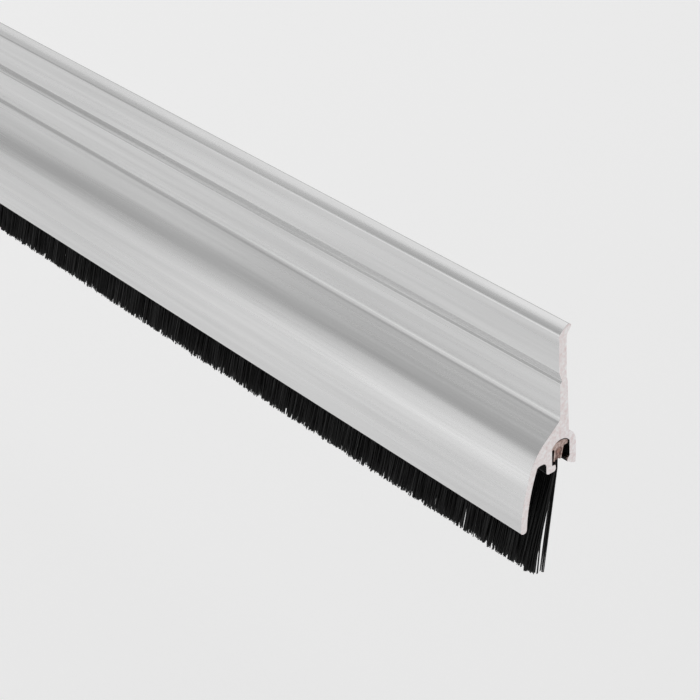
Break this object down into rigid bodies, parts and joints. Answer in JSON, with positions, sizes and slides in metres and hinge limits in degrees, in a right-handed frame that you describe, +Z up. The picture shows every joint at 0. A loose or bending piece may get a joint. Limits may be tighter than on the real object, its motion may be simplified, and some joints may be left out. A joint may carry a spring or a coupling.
{
  "type": "door sweep",
  "caption": "Face-fixed door sweep: aluminium carrier with drill groove, curved hood and a slide-in brush insert whose bristles seal the gap under a door.",
  "frame": {"origin": "middle of the flat on the back of the brush channel, which lies on the door's face", "axes": "+X along the sweep, +Y back at the door, +Z up"},
  "size_m": [0.914, 0.0167, 0.0634],
  "materials": {
    "anodised_aluminium": "satin silver anodised, fine lengthwise extrusion lines, raw saw-cut ends",
    "brown_plastic": "translucent brown, extruded",
    "steel_wire": "drawn wire",
    "black_filament": "semi-matt black filament"
  },
  "bodies": {
    "carrier": {"carrier": "anodised_aluminium"},
    "brush_insert": {"brush_backing": "brown_plastic", "core_wire": "steel_wire", "filament_roots": "black_filament"},
    "bristles": {"front_bristles": "black_filament", "rear_bristles": "black_filament"}
  },
  "joints": [
    {"name": "brush_slide", "type": "slide", "parent": "carrier", "child": "brush_insert", "axis": [1, 0, 0], "range_m": [0, 0.914]},
    {"name": "bristle_flex", "type": "hinge", "parent": "brush_insert", "child": "bristles", "pos_m": [0, -0.0051, -0.00323], "axis": [1, 0, 0], "range_deg": [-18, 20], "stiffness_Nm_per_rad": 0.6}
  ]
}
